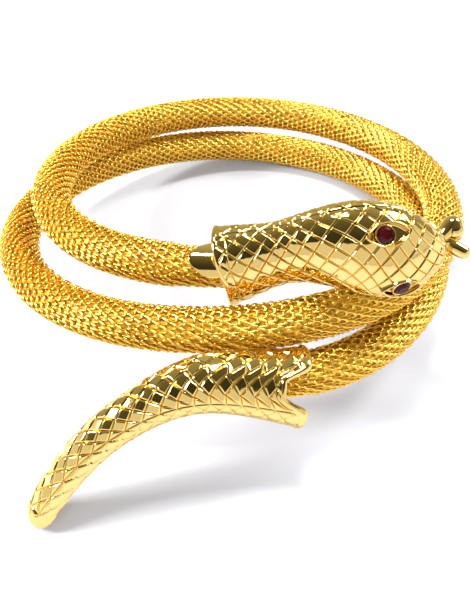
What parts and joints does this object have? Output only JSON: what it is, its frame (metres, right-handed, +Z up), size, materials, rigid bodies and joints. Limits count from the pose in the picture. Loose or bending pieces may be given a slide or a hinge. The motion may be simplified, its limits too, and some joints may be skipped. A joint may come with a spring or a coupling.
{
  "type": "snake bracelet",
  "caption": "Wrist bracelet: a springy knitted wire tube coiled almost twice round, with a cast scaled snake head, stone eyes and a cast scaled tail.",
  "frame": {"origin": "middle of the footprint on the surface that the bracelet lies on", "axes": "+Z up from that surface, +Y away from the side where the head and the tail lie, +X towards the snake's nose"},
  "size_m": [0.0859, 0.1, 0.036],
  "materials": {
    "knitted_wire": "gold plated wire, knitted",
    "cast_gold": "gold plated casting, polished",
    "polished_gold": "gold plated, mirror polished",
    "garnet": "dark red faceted glass"
  },
  "bodies": {
    "root": {"band": "knitted_wire", "head": "cast_gold", "neck_collar": "polished_gold", "eye_upper": "garnet", "eye_lower": "garnet", "tail": "cast_gold"}
  },
  "joints": []
}
